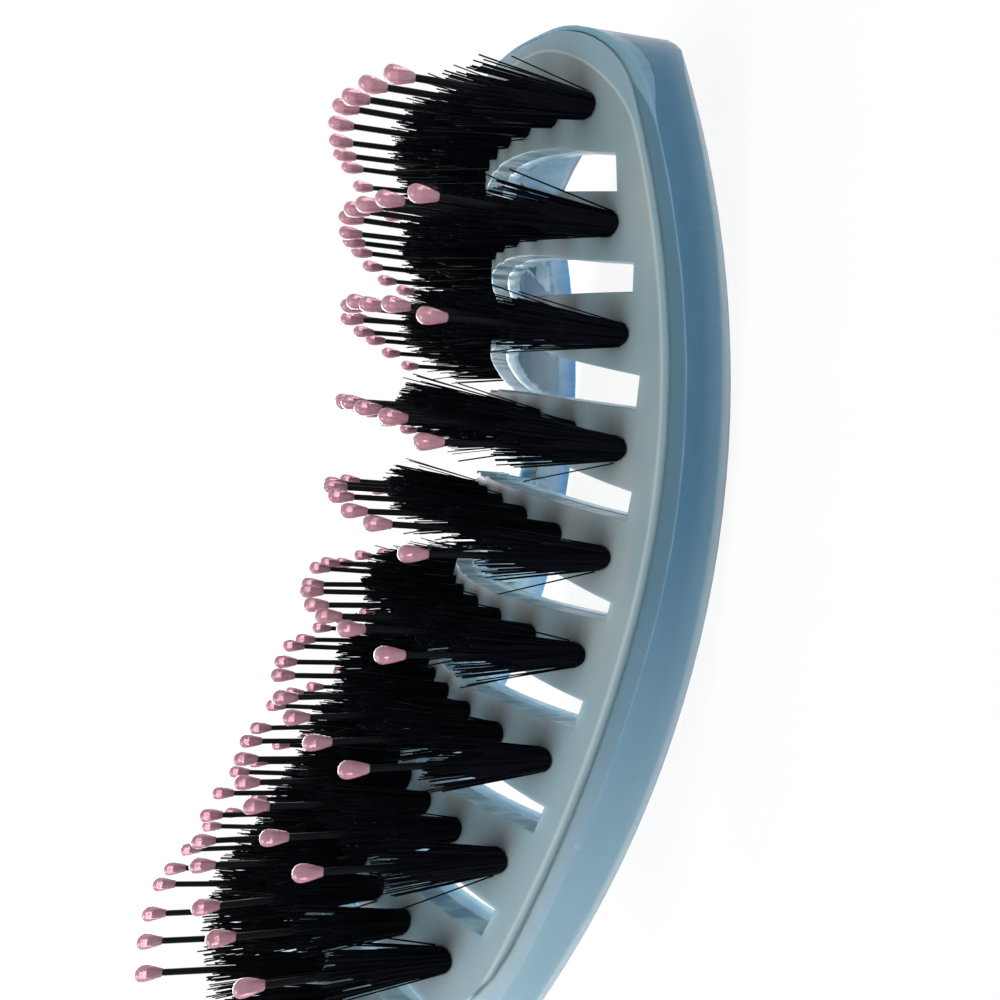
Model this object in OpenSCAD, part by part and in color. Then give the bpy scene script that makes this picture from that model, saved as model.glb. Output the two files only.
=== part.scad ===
/* [Head] */
// Length of the whole brush, from the tip of the head to the end of the handle
brush_len = 235; // [215:1:255]
// Width of the head at its widest
head_w = 74.6; // [71:0.2:80]
// Length of the head
head_len = 132.5; // [130:0.5:138]
// Distance from the tip of the head to the lowest point of its lengthwise curve
tip_reach = 38.5; // [37:0.5:42]
// Radius of the lengthwise curve of the bristle side
length_r = 152.9; // [148:0.1:165]
// How far the sides of the head drop below the crown of its dome
side_drop = 16.40833; // [15:0.00001:17.5]
// Radius of the lengthwise curve of the rim's back edge
back_r = 130.4; // [126:0.2:134]
// How far the back edge's lowest point lies toward the handle
back_shift = 11.2; // [8:0.2:14]
// Depth of the rim at that point, from the crown of the dome
back_depth = 22; // [20:0.2:24]
// Radius in which the rim's back rounds up into the neck
nose_r = 23; // [21.5:0.5:25]
// Bevel that eases the rim's back edge
bevel = 2.6; // [2:0.1:3]
// Radius of that bevel's lengthwise curve
bevel_r = 71.5; // [68:0.5:76]
// How far the bevel's lowest point lies toward the handle
bevel_shift = 17.2; // [15:0.2:20]

/* [Head outline] */
// Radius of the slight curve across the tip
tip_r = 160; // [120:5:260]
// Radius of the two corners at the tip
tip_corner_r = 12; // [9:0.5:16]
// Radius of the long curve in which the sides draw in toward the tip
side_r = 350; // [320:10:500]
// How far behind the lowest point the sides start to draw in
side_bend = 30; // [24:1:40]
// Radius of the two corners at the handle end of the head
end_corner_r = 26; // [20:1:32]

/* [Shells] */
// Thickness of the bristle plate
plate_t = 2.4; // [2.2:0.1:2.8]
// Width of the frame's lip that shows round the plate
lip_w = 1.5; // [1.2:0.1:1.8]
// Width of that lip at the tip
tip_lip_w = 0.5; // [0.4:0.1:1]
// How far the plate's face stands above that lip
lip_step = 0.2; // [0.1:0.05:0.4]
// Weld gap between plate and frame
weld_gap = 0.1; // [0.05:0.05:0.3]
// Thickness of the frame's ribs
rib_t = 1.9; // [1.4:0.1:2.6]
// Thickness of the frame's side rim
rim_wall = 3; // [2.6:0.1:3.2]

/* [Tufts] */
// Distance between neighbouring rows
row_pitch = 12.1; // [11.8:0.1:12.4]
// Distance from the tip to the outer tufts of the first row
first_row = 11.1; // [10.5:0.1:12.5]
// Distance of the outermost tufts from the side of the head
tuft_inset = 5.9; // [5.6:0.1:6.5]
// How far the most arched row rises toward the tip at its middle
row_rise = 4.3; // [3.5:0.1:5]
// Tilt of the outermost tufts, in degrees
splay = 5.5; // [3:0.5:8]
// Bore of a tuft hole
hole_d = 2.8; // [2.6:0.1:3]
// Depth of a tuft hole below the face of the plate
hole_depth = 1.8; // [1.5:0.1:1.9]
// Diameter of the column round a tuft hole, which flutes the vents
column_d = 6; // [5.8:0.1:6.4]

/* [Vents] */
// Half the width of a rib at its middle
rib_half = 2.6; // [2.2:0.1:2.8]
// Half the width of a rib where it meets the rim
rib_end_half = 4.6; // [4:0.1:4.8]
// How far a vent runs on past the outer tufts
vent_margin = 2.25; // [1.9:0.05:2.4]

/* [Pins] */
// Length of a pin from the plate to the middle of its ball
pin_len = 21.7; // [19:0.1:24]
// Diameter of a pin
pin_d = 0.8; // [0.7:0.05:1]
// Diameter of a ball tip
ball_d = 2.1; // [1.9:0.1:2.6]
// Length of the ball's neck below its middle
ball_neck = 2; // [1.7:0.1:2.3]
// Wall of that neck round the pin
ball_wall = 0.12; // [0.08:0.01:0.2]
// Angle below its middle at which the ball runs into its neck
ball_taper = 16; // [10:1:24]
// Clearance round a pin in its ball and in the tuft's root
pin_clearance = 0.03; // [0.02:0.01:0.05]

/* [Bristles] */
// Length of the longest strands above the plate
bristle_len = 15; // [12:0.5:17]
// Thickness of a strand at its root
strand_d = 0.6; // [0.5:0.02:0.64]
// Thickness of a strand at its tip
strand_tip_d = 0.32; // [0.2:0.02:0.4]
// Outward lean of a strand, in degrees
strand_lean = 7; // [4:0.5:8]
// Clearance of a tuft's root in its hole
root_clearance = 0.05; // [0.03:0.01:0.1]
// Height of a tuft's root above the plate
root_stand = 0.3; // [0.2:0.05:0.5]

/* [Anchors] */
// Length of the wire anchor across the bottom of a tuft hole
anchor_len = 2.4; // [2:0.1:2.5]
// Width of an anchor
anchor_w = 0.9; // [0.6:0.05:1.2]
// Thickness of an anchor
anchor_t = 0.3; // [0.2:0.05:0.4]

/* [Handle] */
// Width of the handle
handle_w = 25; // [22:0.5:28]
// Thickness of the handle
handle_t = 15; // [13:0.5:17]
// Radius of the handle's lengthwise curve
handle_r = 150; // [140:1:170]
// Slope at which the handle leaves the head, in degrees
handle_slope = 30; // [27:0.5:32]
// Height of the handle's middle line where it leaves the head
handle_rise = 12; // [10:0.5:14]
// Rounding of the handle's long edges
handle_edge_r = 5; // [4:0.5:6]
// Width of the neck where it leaves the head
neck_w = 42; // [38:1:44]
// Thickness of the neck
neck_t = 8; // [7:0.5:9]
// Radius of the hollow curve in which the neck's sides run into the handle
neck_r = 16; // [14:0.5:20]
// Depth of the solid web at the handle end of the head
end_web = 9; // [8:0.5:9.5]
// Diameter of the hole for hanging up
hang_d = 7; // [5:0.5:9]
// Distance of that hole from the end of the handle
hang_inset = 11; // [9:0.5:15]

/* [Hidden] */
ROWS = [1:10];
$fn = 64;

// Tufts in a row
tufts = 11;
// Strands in a tuft
strands = 4;
// Overrun that takes a cut clear through a face
over = hole_d / 3;

// Steps between the rows' outer tufts, as shares of the row pitch
row_step_shares = [1.1, 1.02, 1.06, 1.025, 0.935, 1.02, 1.005, 1.015, 0.96];
// Rise of each row at its middle, as shares of the largest rise
row_rise_shares = [0.44, 0.62, 0.84, 1, 1, 0.23, 0.22, 0.19, 0.41, 0.41];
// Reach of each row from the middle, as shares of the largest reach
row_reach_shares = [0.826, 0.894, 0.943, 0.979, 0.993, 0.994, 1, 0.997, 0.986, 0.9];
// How far the ends of each vent lie toward the handle, as shares of a rib's half width there
vent_drop_shares = [0.28, 0, 0, 0, 0, 0, 0, 0, 0];
// Lengths of a tuft's four strands, as shares of the longest
strand_len_shares = [1, 0.86, 0.94, 0.8];
// Distance of the nose's centre from the head's end, as a share of its radius
nose_inset_share = 0.9;

dome_r = (head_w * head_w / 4 + side_drop * side_drop) / (2 * side_drop);
tuft_reach = head_w / 2 - tuft_inset;
tip_y = tip_reach;
end_y = tip_y - head_len;
handle_end_y = tip_y - brush_len;
back_centre = [-back_shift, back_r - back_depth];
bevel_tube_r = (head_w - bevel) / sqrt(2);
bevel_centre = [-bevel_shift, bevel_r + head_w / 2 - back_depth];
nose_centre = [end_y + nose_r * nose_inset_share, handle_rise];
handle_start_y = end_y + handle_w / 3;
handle_centre = [handle_start_y, handle_rise] - handle_r * [sin(handle_slope), cos(handle_slope)];
// Where the neck's sides have run into the handle
neck_y = end_y + end_web / 4 - sqrt(neck_r * neck_r - pow(handle_w / 2 + neck_r - neck_w / 2, 2));
// The bounding box's middle and bottom, which the finished brush is moved to
mid_y = tip_y - brush_len / 2;
low_z = -back_depth;

// Centres of the outline's arcs
side_centre = [head_w / 2 - side_r, -side_bend];
tip_centre = [0, tip_y - tip_r];
corner_centre = meet(side_centre, side_r - tip_corner_r, tip_centre, tip_r - tip_corner_r);
end_centre = [head_w / 2 - end_corner_r, end_y + end_corner_r];

// Right-hand meeting point of two circles
function meet(a, ra, b, rb) =
    let (d = norm(b - a), u = (b - a) / d)
    let (t = (ra * ra - rb * rb + d * d) / (2 * d), h = sqrt(ra * ra - t * t))
    let (p = a + t * u, q = [-u.y, u.x] * h)
    (p.x + q.x > p.x - q.x) ? p + q : p - q;

// Points of an arc about a centre, from one angle to another
function arc(c, r, from, to, steps) =
    [for (i = [0:steps]) c + r * [cos(from + (to - from) * i / steps), sin(from + (to - from) * i / steps)]];

function bearing(a, b) = atan2(b.y - a.y, b.x - a.x);

// Right half of the head's outline, drawn in by an inset
function half_outline(inset) =
    let (tip_angle = bearing(tip_centre, corner_centre), side_angle = bearing(side_centre, corner_centre))
    concat(
        arc(tip_centre, tip_r - inset, 90, tip_angle, 3),
        arc(corner_centre, tip_corner_r - inset, tip_angle, side_angle, 9),
        arc(side_centre, side_r - inset, side_angle, 0, 6),
        arc(end_centre, end_corner_r - inset, 0, -90, 12));

function mirrored(points) =
    concat(points, [for (i = [len(points) - 1:-1:0]) [-points[i].x, points[i].y]]);

// Height of the bristle side at a place in plan
function drop(x) = dome_r - sqrt(dome_r * dome_r - x * x);
function skin_z(x, y) = length_r - sqrt(pow(length_r + drop(x), 2) - y * y);

// Places of the tufts
function total(list, n) = n == 0 ? 0 : list[n - 1] + total(list, n - 1);
function row_y(row) = tip_y - first_row - row_pitch * total(row_step_shares, row - 1);
function reach(row) = tuft_reach * row_reach_shares[row - 1];
function tuft_share(i) = 1 - 2 * i / (tufts - 1);
function tuft_x(row, i) = reach(row) * tuft_share(i);
function arch(row, share) = row_rise * row_rise_shares[row - 1] * (1 - share * share);
function tuft_y(row, i) = row_y(row) + arch(row, tuft_share(i));
function rib_reach(share) = rib_half + (rib_end_half - rib_half) * share * share;

// Outline of the vent below a row, straight from one tuft to the next
function vent_edge(row, side, end_x, end_drop) =
    let (end_y = row_y(row) + side * rib_end_half - end_drop)
    concat([[end_x, end_y]],
        [for (i = [1:tufts - 2]) [tuft_x(row, i), tuft_y(row, i) + side * rib_reach(tuft_share(i))]],
        [[-end_x, end_y]]);
function backwards(list) = [for (i = [len(list) - 1:-1:0]) list[i]];
function vent_outline(row) =
    let (end_x = (reach(row) + reach(row + 1)) / 2 + vent_margin)
    let (end_drop = rib_end_half * vent_drop_shares[row - 1])
    concat(vent_edge(row, -1, end_x, end_drop), backwards(vent_edge(row + 1, 1, end_x, end_drop)));

// The brush lies on its back, with its bounding box's bottom centre at the origin
module placed() {
    translate([0, -mid_y, -low_z]) children();
}

// A shape in plan, extruded through the whole height of the plate, frame and handle
module through() {
    translate([0, 0, -back_depth - over]) linear_extrude(2 * (back_depth + dome_r / 2)) children();
}

// A shape in side view, extruded through the whole width of the head
module across() {
    rotate([90, 0, 90]) linear_extrude(2 * head_w, center = true) children();
}

// Everything behind the domed and curved skin that lies a given depth under the bristle side
module behind(depth) {
    translate([0, 0, length_r])
        rotate([0, 90, 0])
            rotate([0, 0, -50])
                rotate_extrude(angle = 100, $fn = 180)
                    translate([length_r + dome_r, 0]) circle(r = dome_r - depth);
}

// Everything in front of the rim's curved back edge, with the nose toward the handle
module before_back() {
    across() intersection() {
        translate(back_centre) circle(r = back_r, $fn = 180);
        union() {
            translate([nose_centre.x, -2 * back_depth]) square([head_len, 5 * back_depth]);
            translate(nose_centre) circle(r = nose_r);
        }
    }
}

// Everything inside the bevel of that back edge
module inside_bevel() {
    translate([0, bevel_centre.x, bevel_centre.y])
        rotate([0, 90, 0])
            rotate([0, 0, -60])
                rotate_extrude(angle = 120, $fn = 180)
                    translate([bevel_r, 0]) circle(r = bevel_tube_r);
}

module row_columns(row) {
    for (i = [0:tufts - 1]) translate([tuft_x(row, i), tuft_y(row, i)]) circle(d = column_d);
}

// Plan of the vents, fluted by the tufts' columns
module vents() {
    for (row = [1:len(row_step_shares)]) {
        difference() {
            polygon(vent_outline(row));
            row_columns(row);
            row_columns(row + 1);
        }
    }
}

module at_tuft(row, i) {
    x = tuft_x(row, i);
    y = tuft_y(row, i);
    translate([x, y, skin_z(x, y)]) rotate([0, splay * x / tuft_reach, 0]) children();
}

// Plan of the plate, drawn in further by an inset
module plate_plan(inset) {
    translate([0, lip_w - tip_lip_w]) polygon(mirrored(half_outline(lip_w + inset)));
}

// Domed and slotted plate that carries the tufts
module front_plate() {
    color("#8fa3a5") placed() difference() {
        intersection() {
            through() difference() {
                plate_plan(0);
                vents();
            }
            behind(0);
            before_back();
        }
        behind(plate_t);
        for (row = ROWS, i = [0:tufts - 1])
            at_tuft(row, i) translate([0, 0, -hole_depth]) cylinder(d = hole_d, h = hole_depth + hole_d);
    }
}

// Rim and ribs in one moulding, with a seat for the plate
module back_frame() {
    color("#4b7396") placed() difference() {
        intersection() {
            through() difference() {
                polygon(mirrored(half_outline(0)));
                vents();
            }
            behind(lip_step);
            before_back();
            inside_bevel();
        }
        difference() {
            through() plate_plan(-weld_gap);
            behind(plate_t + weld_gap);
        }
        intersection() {
            through() intersection() {
                polygon(mirrored(half_outline(rim_wall)));
                translate([-head_w, end_y + end_web]) square([2 * head_w, head_len]);
            }
            behind(plate_t + weld_gap + rib_t);
        }
    }
}

// Part of a ring about the handle's centre of curvature, with a given section
module handle_ring(from, to) {
    translate([0, handle_centre.x, handle_centre.y])
        rotate([0, -90, 0])
            rotate([0, 0, from])
                rotate_extrude(angle = to - from, $fn = 180) translate([handle_r, 0]) children();
}

// Slope of the handle's middle line at a distance from the tip
function handle_angle(y) = asin((y - handle_centre.x) / handle_r);

// Grip with a round end
module grip() {
    intersection() {
        handle_ring(handle_angle(handle_end_y - over), handle_angle(end_y + end_web / 2))
            rounded_box(handle_t, handle_w, handle_edge_r);
        through() union() {
            translate([0, handle_end_y + handle_w / 2]) circle(d = handle_w);
            translate([-handle_w, handle_end_y + handle_w / 2]) square([2 * handle_w, brush_len]);
        }
    }
}

// The neck that widens the grip toward the head
module neck() {
    intersection() {
        handle_ring(handle_angle(neck_y), handle_angle(end_y + end_web / 2))
            square([neck_t, 2 * neck_w], center = true);
        through() difference() {
            translate([-neck_w / 2, neck_y - over]) square([neck_w, end_y + end_web - neck_y]);
            for (side = [-1, 1]) translate([side * (handle_w / 2 + neck_r), neck_y]) circle(r = neck_r);
        }
    }
}

// Handle that butts against the end of the head, with its hole for hanging up
module handle() {
    color("#4b7396") placed() difference() {
        union() {
            grip();
            neck();
        }
        through() {
            polygon(mirrored(half_outline(-weld_gap)));
            translate([0, handle_end_y + hang_inset]) circle(d = hang_d);
        }
    }
}

// A rectangle with round corners
module rounded_box(w, h, r) {
    square([w - 2 * r, h], center = true);
    square([w, h - 2 * r], center = true);
    for (x = [-1, 1], y = [-1, 1]) translate([x * (w / 2 - r), y * (h / 2 - r)]) circle(r = r);
}

// Where a tuft's root starts, above the anchor on the floor of its hole
root_z = anchor_t + root_clearance - hole_depth;
root_d = hole_d - 2 * root_clearance;

// A tuft's round root, with its strands fanning out of it
module tuft() {
    difference() {
        translate([0, 0, root_z]) cylinder(d = root_d, h = root_stand - root_z);
        translate([0, 0, root_z - over]) cylinder(d = pin_d + 2 * pin_clearance, h = hole_depth + 2 * over);
    }
    for (k = [0:strands - 1])
        rotate([0, 0, 45 + 360 * k / strands])
            translate([(pin_d + root_d) / 4, 0, 0])
                rotate([0, strand_lean, 0])
                    cylinder(bristle_len * strand_len_shares[k], d1 = strand_d, d2 = strand_tip_d, $fn = 3);
}

module bristles(row) {
    color("#0a0d14") placed() for (i = [0:tufts - 1]) at_tuft(row, i) tuft();
}

// The pins that stand in the middle of the tufts
module pins(row) {
    pin_top = pin_len - ball_d / 4;
    color("#11141c") placed() for (i = [0:tufts - 1])
        at_tuft(row, i) translate([0, 0, root_z]) cylinder(d = pin_d, h = pin_top - root_z);
}

// Drop-shaped tips that cap the pins
module ball_tips(row) {
    color("#c98b9b") placed() for (i = [0:tufts - 1])
        at_tuft(row, i) translate([0, 0, pin_len]) difference() {
            rotate_extrude() difference() {
                union() {
                    circle(d = ball_d);
                    polygon([[0, 0], ball_d / 2 * [cos(ball_taper), -sin(ball_taper)],
                        [pin_d / 2 + pin_clearance + ball_wall, -ball_neck], [0, -ball_neck]]);
                }
                translate([-ball_d, -ball_d]) square([ball_d, 2 * ball_d]);
            }
            translate([0, 0, -ball_d / 4 + pin_clearance - ball_d])
                cylinder(d = pin_d + 2 * pin_clearance, h = ball_d);
        }
}

// Flat wire anchors at the bottom of the tuft holes
module anchors(row) {
    color("silver") placed() for (i = [0:tufts - 1])
        at_tuft(row, i) translate([-anchor_len / 2, -anchor_w / 2, -hole_depth])
            cube([anchor_len, anchor_w, anchor_t]);
}

front_plate();
back_frame();
handle();
bristles(1);  // bristles_row_01
bristles(2);  // bristles_row_02
bristles(3);  // bristles_row_03
bristles(4);  // bristles_row_04
bristles(5);  // bristles_row_05
bristles(6);  // bristles_row_06
bristles(7);  // bristles_row_07
bristles(8);  // bristles_row_08
bristles(9);  // bristles_row_09
bristles(10);  // bristles_row_10
pins(1);  // pins_row_01
pins(2);  // pins_row_02
pins(3);  // pins_row_03
pins(4);  // pins_row_04
pins(5);  // pins_row_05
pins(6);  // pins_row_06
pins(7);  // pins_row_07
pins(8);  // pins_row_08
pins(9);  // pins_row_09
pins(10);  // pins_row_10
ball_tips(1);  // ball_tips_row_01
ball_tips(2);  // ball_tips_row_02
ball_tips(3);  // ball_tips_row_03
ball_tips(4);  // ball_tips_row_04
ball_tips(5);  // ball_tips_row_05
ball_tips(6);  // ball_tips_row_06
ball_tips(7);  // ball_tips_row_07
ball_tips(8);  // ball_tips_row_08
ball_tips(9);  // ball_tips_row_09
ball_tips(10);  // ball_tips_row_10
anchors(1);  // anchors_row_01
anchors(2);  // anchors_row_02
anchors(3);  // anchors_row_03
anchors(4);  // anchors_row_04
anchors(5);  // anchors_row_05
anchors(6);  // anchors_row_06
anchors(7);  // anchors_row_07
anchors(8);  // anchors_row_08
anchors(9);  // anchors_row_09
anchors(10);  // anchors_row_10
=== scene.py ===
import bpy, math, random
from mathutils import Matrix, Vector
from mathutils.kdtree import KDTree


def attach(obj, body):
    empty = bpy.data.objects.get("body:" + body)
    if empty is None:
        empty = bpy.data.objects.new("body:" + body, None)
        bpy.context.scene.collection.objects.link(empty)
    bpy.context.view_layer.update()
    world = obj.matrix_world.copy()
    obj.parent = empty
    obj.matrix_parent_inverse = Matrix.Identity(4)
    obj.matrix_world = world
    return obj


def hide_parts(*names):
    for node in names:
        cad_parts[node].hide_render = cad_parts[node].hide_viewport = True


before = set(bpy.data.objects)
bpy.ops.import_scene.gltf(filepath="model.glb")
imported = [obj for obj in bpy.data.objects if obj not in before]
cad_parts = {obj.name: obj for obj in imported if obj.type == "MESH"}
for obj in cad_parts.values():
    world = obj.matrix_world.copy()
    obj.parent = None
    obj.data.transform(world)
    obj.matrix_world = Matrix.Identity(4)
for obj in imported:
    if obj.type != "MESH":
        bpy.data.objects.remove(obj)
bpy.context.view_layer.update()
mm = 0.001  # sizes in the settings are in mm, except those of the stage, which are in metres


def colour(hexValue):
    # sRGB hex to the linear values that Blender's sockets take
    parts = [int(hexValue[i:i + 2], 16) / 255 for i in (1, 3, 5)]
    linear = [p / 12.92 if p <= 0.04045 else ((p + 0.055) / 1.055) ** 2.4 for p in parts]
    return (*linear, 1.0)


def addNode(tree, kind, settings=None, links=None):
    # one node, its settings by name or socket, and its incoming links
    node = tree.nodes.new(kind)
    for key, value in (settings or {}).items():
        if isinstance(key, str) and hasattr(node, key):
            setattr(node, key, value)
        else:
            node.inputs[key].default_value = value
    for key, source in (links or {}).items():
        tree.links.new(source, node.inputs[key])
    return node


def newMaterial(name):
    material = bpy.data.materials.new(name)
    material.use_nodes = True
    material.node_tree.nodes.clear()
    return material, material.node_tree


def dress(thing, material):
    thing.data.materials.clear()
    thing.data.materials.append(material)


def addObject(name, data):
    thing = bpy.data.objects.new(name, data)
    bpy.context.scene.collection.objects.link(thing)
    return thing


def deselect():
    for thing in bpy.context.selected_objects:
        thing.select_set(False)


def pick(things):
    deselect()
    for thing in things:
        thing.select_set(True)
    bpy.context.view_layer.objects.active = things[0]


def smoothStep(low, high, value):
    t = min(max((value - low) / (high - low), 0.0), 1.0)
    return t * t * (3 - 2 * t)


# The camera, placed by fitting the rows, the tips and the rim of the photograph

cameraSettings = {
    "place": (111.561, 68.643, 37.873),
    "right": (0.1561, 0.0701, -0.9852),
    "up": (-0.0978, 0.9937, 0.0552),
    "back": (0.9829, 0.0878, 0.1620),
    "lens": 26.7,
    "sensor": 36,
    "nearest": 2,
    "farthest": 20000,
}

cameraData = bpy.data.cameras.new("camera")
camera = addObject("camera", cameraData)
bpy.context.scene.camera = camera
axes = [Vector(cameraSettings[k]).normalized() for k in ("right", "up", "back")]
camera.rotation_mode = "QUATERNION"
camera.rotation_quaternion = Matrix([[a[i] for a in axes] for i in range(3)]).to_quaternion()
camera.location = Vector(cameraSettings["place"]) * mm
cameraData.lens = cameraSettings["lens"]
cameraData.sensor_width = cameraSettings["sensor"]
cameraData.clip_start = cameraSettings["nearest"] * mm
cameraData.clip_end = cameraSettings["farthest"] * mm
print("camera placed")

# Materials

plateLook = {
    "body": "#949F9F",
    "cool": "#72919B",  # the clouds
    "foot_shade": "#4A4B4A",  # where a tuft's dark foot shows through, deepened by painted tuft shadow
    "tip": "#6F8386",
    "low": "#7797A2",  # toward the handle
    "litWall": "#C3D9E0",  # painted light: the vents' walls, pale as if lit through, streaked with the next
    "litWallDeep": "#6F99AD",
    "edge": "#BCC7C0",  # painted highlight: the bright line round the top, where the rounded edge catches the light
    "rim": "#7894A0",  # outside that line
    "tipRange": (88, 112),
    "lowRange": (60, 25),
    "endShare": 0.8,
    "cloudSize": 9,
    "cloudStretch": (1.6, 0.5, 1.0),
    "cloudRange": (0.3, 0.7),
    "edgeInset": 1.82,
    "highlightWidth": 0.26,
    "highlightShare": 0.5,
    "rimFade": 0.25,
    "wallTilt": (0.4, 0.2),
    "wallShare": 0.85,
    "wallInset": 0.4,  # past the bright line
    "streakSize": 1.6,
    "streakStretch": (1.0, 1.0, 0.25),
    "streakRange": (0.38, 0.62),
    "footShadeAcross": 1.05,
    "footShadeAlong": 2.7,
    "footShadeAhead": 1.1,
    "footShadeShare": 0.85,
    "grainSize": 0.5,
    "grainDepth": 0.05,
    "grainStrength": 0.05,
    "rounding": 0.3,
    "roughness": 0.34,
    "glow": 2.0,
    "glowShare": 0.8,
    "glowReach": (0.8, 1.0, 1.1),
}


def frostedStyrene():
    # styrene acrylonitrile, moulded frosted: milky and soft inside, with a satin skin,
    # and brown-grey clouds where the tufts' dark feet show through, deepened by painted tuft
    # shadow
    material, tree = newMaterial("frosted_styrene")
    s = plateLook
    place = addNode(tree, "ShaderNodeTexCoord").outputs["Object"]
    stretch = addNode(tree, "ShaderNodeMapping", {"Scale": s["cloudStretch"]}, {"Vector": place})
    clouds = addNode(tree, "ShaderNodeTexNoise",
                     {"Scale": 1 / (s["cloudSize"] * mm), "Detail": 2.0},
                     {"Vector": stretch.outputs["Vector"]})
    cloud = addNode(tree, "ShaderNodeMapRange",
                    {"From Min": s["cloudRange"][0], "From Max": s["cloudRange"][1]},
                    {"Value": clouds.outputs["Fac"]})
    body = addNode(tree, "ShaderNodeMix",
                   {"data_type": "RGBA", 6: colour(s["body"]), 7: colour(s["cool"])},
                   {"Factor": cloud.outputs["Result"]})
    # darker toward the tip and bluer toward the handle
    parts = addNode(tree, "ShaderNodeSeparateXYZ", {}, {"Vector": place})
    for name in ("tip", "low"):
        start, end = s[name + "Range"]
        share = addNode(tree, "ShaderNodeMapRange",
                        {"interpolation_type": "SMOOTHSTEP", "From Min": start * mm,
                         "From Max": end * mm, "To Max": s["endShare"]},
                        {"Value": parts.outputs["Y"]})
        body = addNode(tree, "ShaderNodeMix", {"data_type": "RGBA", 7: colour(s[name])},
                       {"Factor": share.outputs["Result"], 6: body.outputs[2]})
    # painted shade: the tufts' feet and their shadows darken the plate round each root
    foot_shade = addNode(tree, "ShaderNodeAttribute", {"attribute_name": "foot_shade"})
    body = addNode(tree, "ShaderNodeMix", {"data_type": "RGBA", 7: colour(s["foot_shade"])},
                   {"Factor": foot_shade.outputs["Fac"], 6: body.outputs[2]})
    # the rim, and a painted highlight line that sets it off where the plate's rounded edge
    # catches the light
    inset = addNode(tree, "ShaderNodeAttribute", {"attribute_name": "inset"})
    rim = addNode(tree, "ShaderNodeMapRange",
                  {"From Min": s["edgeInset"], "From Max": s["edgeInset"] - s["rimFade"]},
                  {"Value": inset.outputs["Fac"]})
    body = addNode(tree, "ShaderNodeMix", {"data_type": "RGBA", 7: colour(s["rim"])},
                   {"Factor": rim.outputs["Result"], 6: body.outputs[2]})
    away = addNode(tree, "ShaderNodeMath", {"operation": "SUBTRACT", 1: s["edgeInset"]},
                   {0: inset.outputs["Fac"]})
    away = addNode(tree, "ShaderNodeMath", {"operation": "ABSOLUTE"}, {0: away.outputs[0]})
    highlight = addNode(tree, "ShaderNodeMapRange",
                   {"interpolation_type": "SMOOTHSTEP", "From Min": 0.0,
                    "From Max": s["highlightWidth"], "To Min": s["highlightShare"], "To Max": 0.0},
                   {"Value": away.outputs[0]})
    body = addNode(tree, "ShaderNodeMix", {"data_type": "RGBA", 7: colour(s["edge"])},
                   {"Factor": highlight.outputs["Result"], 6: body.outputs[2]})
    # painted light: the vents' upright walls pale and streaky, as where light comes through them
    facing = addNode(tree, "ShaderNodeNewGeometry")
    facing = addNode(tree, "ShaderNodeSeparateXYZ", {}, {"Vector": facing.outputs["Normal"]})
    upright = addNode(tree, "ShaderNodeMath", {"operation": "ABSOLUTE"},
                      {0: facing.outputs["Z"]})
    litWall = addNode(tree, "ShaderNodeMapRange",
                   {"From Min": s["wallTilt"][0], "From Max": s["wallTilt"][1],
                    "To Max": s["wallShare"]}, {"Value": upright.outputs[0]})
    within = addNode(tree, "ShaderNodeMath",
                     {"operation": "GREATER_THAN", 1: s["edgeInset"] + s["wallInset"]},
                     {0: inset.outputs["Fac"]})
    litWall = addNode(tree, "ShaderNodeMath", {"operation": "MULTIPLY"},
                   {0: litWall.outputs["Result"], 1: within.outputs[0]})
    drawn = addNode(tree, "ShaderNodeMapping", {"Scale": s["streakStretch"]}, {"Vector": place})
    streaks = addNode(tree, "ShaderNodeTexNoise",
                      {"Scale": 1 / (s["streakSize"] * mm), "Detail": 3.0},
                      {"Vector": drawn.outputs["Vector"]})
    streak = addNode(tree, "ShaderNodeMapRange",
                     {"From Min": s["streakRange"][0], "From Max": s["streakRange"][1]},
                     {"Value": streaks.outputs["Fac"]})
    wallLight = addNode(tree, "ShaderNodeMix",
                     {"data_type": "RGBA", 6: colour(s["litWallDeep"]), 7: colour(s["litWall"])},
                     {"Factor": streak.outputs["Result"]})
    body = addNode(tree, "ShaderNodeMix", {"data_type": "RGBA"},
                   {"Factor": litWall.outputs[0], 6: body.outputs[2], 7: wallLight.outputs[2]})
    # satin skin with softened edges
    grain = addNode(tree, "ShaderNodeTexNoise",
                    {"Scale": 1 / (s["grainSize"] * mm), "Detail": 3.0}, {"Vector": place})
    soft = addNode(tree, "ShaderNodeBevel", {"samples": 6, "Radius": s["rounding"] * mm})
    bump = addNode(tree, "ShaderNodeBump",
                   {"Strength": s["grainStrength"], "Distance": s["grainDepth"] * mm},
                   {"Height": grain.outputs["Fac"], "Normal": soft.outputs["Normal"]})
    skin = addNode(tree, "ShaderNodeBsdfPrincipled",
                   {"Roughness": s["roughness"], "IOR": 1.57,
                    "Subsurface Weight": s["glowShare"], "Subsurface Radius": s["glowReach"],
                    "Subsurface Scale": s["glow"] * mm},
                   {"Base Color": body.outputs[2], "Normal": bump.outputs["Normal"]})
    addNode(tree, "ShaderNodeOutputMaterial", {}, {"Surface": skin.outputs["BSDF"]})
    return material


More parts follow.
